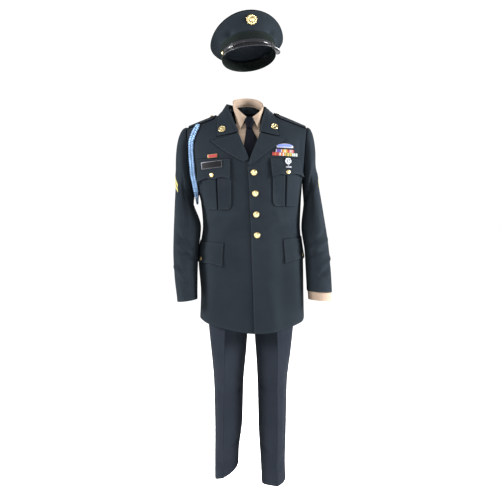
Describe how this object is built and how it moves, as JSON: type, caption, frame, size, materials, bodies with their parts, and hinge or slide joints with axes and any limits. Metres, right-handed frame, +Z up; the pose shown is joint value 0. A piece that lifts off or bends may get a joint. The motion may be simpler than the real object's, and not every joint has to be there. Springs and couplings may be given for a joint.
{
  "type": "army dress uniform",
  "caption": "Worn dress uniform set: single-breasted coat with lapels, shirt collar and tie, creased trousers, braided shoulder cord, insignia and a visor cap above the neck.",
  "frame": {"origin": "base of the wearer's neck, midway between the shoulders, where the wearer holds it", "axes": "+Z up; the front faces -Y; the wearer's left side is +X"},
  "size_m": [0.6019, 0.3023, 1.805],
  "materials": {
    "serge": "matt",
    "shirt": "matt",
    "tie": "satin",
    "gold": "polished",
    "silver": "satin",
    "cord": "matt",
    "patent": "gloss",
    "enamel": "gloss",
    "ribbon": "matt",
    "braid": "matt"
  },
  "bodies": {
    "root": {"breast_badge": "silver", "cap_badge": "gold", "cap_band": "serge", "cap_button_left": "gold", "cap_button_right": "gold", "cap_chin_strap": "patent", "cap_crown_side": "serge", "cap_crown_top": "serge", "cap_visor": "patent", "chest_button_left": "gold", "chest_button_right": "gold", "chest_flap_left": "serge", "chest_flap_right": "serge", "chest_pocket_left": "serge", "chest_pocket_right": "serge", "chevrons_left": "braid", "chevrons_right": "braid", "citation_ribbon": "ribbon", "coat_back_left": "serge", "coat_back_right": "serge", "coat_collar": "serge", "coat_collar_stand": "serge", "coat_front_left": "serge", "coat_front_right": "serge", "coat_sleeve_left": "serge", "coat_sleeve_right": "serge", "collar_disc_left": "gold", "collar_disc_right": "gold", "epaulet_button_left": "gold", "epaulet_button_right": "gold", "epaulet_left": "serge", "epaulet_right": "serge", "front_button_1": "gold", "front_button_2": "gold", "front_button_3": "gold", "front_button_4": "gold", "lapel_left": "serge", "lapel_right": "serge", "name_plate": "enamel", "ribbon_bars": "ribbon", "shirt_band": "shirt", "shirt_collar": "shirt", "shirt_cuff_left": "shirt", "shirt_front_left": "shirt", "shirt_front_right": "shirt", "shoulder_cord": "cord", "skirt_button_left": "gold", "skirt_button_right": "gold", "skirt_flap_left": "serge", "skirt_flap_right": "serge", "strap_slide_left": "patent", "strap_slide_right": "patent", "tie_blade": "tie", "tie_knot": "tie", "trouser_back_left": "serge", "trouser_back_right": "serge", "trouser_front_left": "serge", "trouser_front_right": "serge", "waistband": "serge", "wreath_badge": "silver"}
  },
  "joints": []
}
